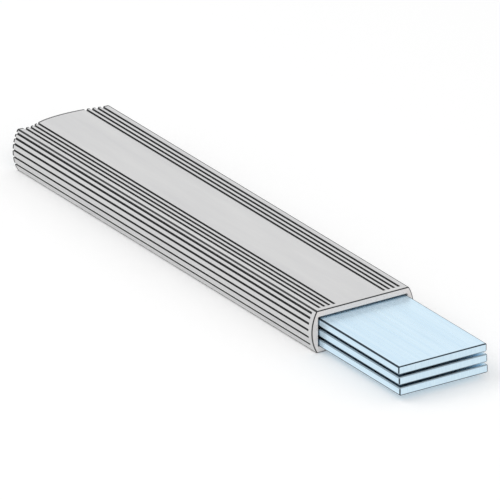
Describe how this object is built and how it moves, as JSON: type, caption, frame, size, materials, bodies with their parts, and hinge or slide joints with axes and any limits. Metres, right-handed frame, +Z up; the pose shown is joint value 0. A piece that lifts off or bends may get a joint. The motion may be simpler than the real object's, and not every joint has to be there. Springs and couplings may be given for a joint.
{
  "type": "flexible busbar",
  "caption": "Flexible busbar: flat tinned copper strips stacked loosely in a ribbed PVC insulating sleeve, with one end stripped bare for clamping or bolting.",
  "frame": {"origin": "middle of the bar's footprint, on the level that its flat underside lies on", "axes": "+X along the bar towards its bare end, +Y across its width, +Z up through its thickness"},
  "size_m": [0.1596, 0.0278, 0.0104],
  "materials": {
    "sleeve": "light grey flexible PVC, extruded, satin",
    "strip": null
  },
  "bodies": {
    "root": {"insulating_sleeve": "sleeve", "copper_strip_1": "strip", "copper_strip_2": "strip", "copper_strip_3": "strip"}
  },
  "joints": []
}
